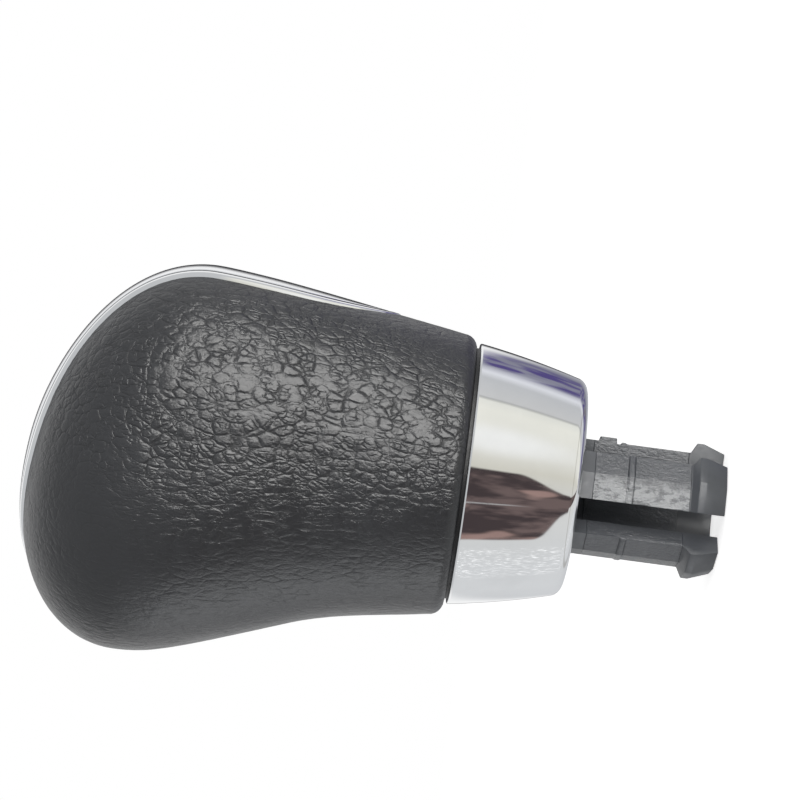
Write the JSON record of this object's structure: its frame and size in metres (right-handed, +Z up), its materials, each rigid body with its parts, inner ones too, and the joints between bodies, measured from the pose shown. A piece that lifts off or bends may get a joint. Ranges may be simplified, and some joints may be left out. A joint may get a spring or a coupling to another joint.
{
  "type": "gear shift knob",
  "caption": "Leather covered gear shift knob with a bright oval rear panel, a bright collar, and a split barbed sleeve that a gaiter snaps onto.",
  "frame": {"origin": "on the lever's axis, at the mouth of the lever bore, level with the collar's lower face", "axes": "+Z up the lever's axis towards the head, +X to the rear, where the oval panel faces, and Y across the lever"},
  "size_m": [0.056, 0.047, 0.0987],
  "materials": {
    "leather": "pebbled charcoal leather, low sheen",
    "core_plastic": "moulded glass filled plastic",
    "screw_steel": "zinc plated steel",
    "bright_trim": "bright chrome plate",
    "black_plastic": "black moulded plastic",
    "satin_panel": "bright plated panel, plain",
    "grey_plastic": "grey moulded plastic with a fine grain",
    "socket_plastic": "moulded glass filled plastic",
    "rubber": "black rubber",
    "spring_steel": "oiled spring steel"
  },
  "bodies": {
    "root": {"leather_cover": "leather", "core_left": "core_plastic", "core_right": "core_plastic", "core_screw_1": "screw_steel", "core_screw_2": "screw_steel", "core_screw_3": "screw_steel", "core_screw_4": "screw_steel", "bezel_frame": "bright_trim", "panel_carrier": "black_plastic", "face_panel": "satin_panel", "tuck_ring": "black_plastic", "chrome_collar": "bright_trim", "gaiter_sleeve": "grey_plastic", "sleeve_screw_1": "screw_steel", "sleeve_screw_2": "screw_steel", "sleeve_screw_3": "screw_steel", "sleeve_screw_4": "screw_steel", "lever_socket": "socket_plastic", "damper_bush": "rubber", "locking_clip": "spring_steel"}
  },
  "joints": []
}
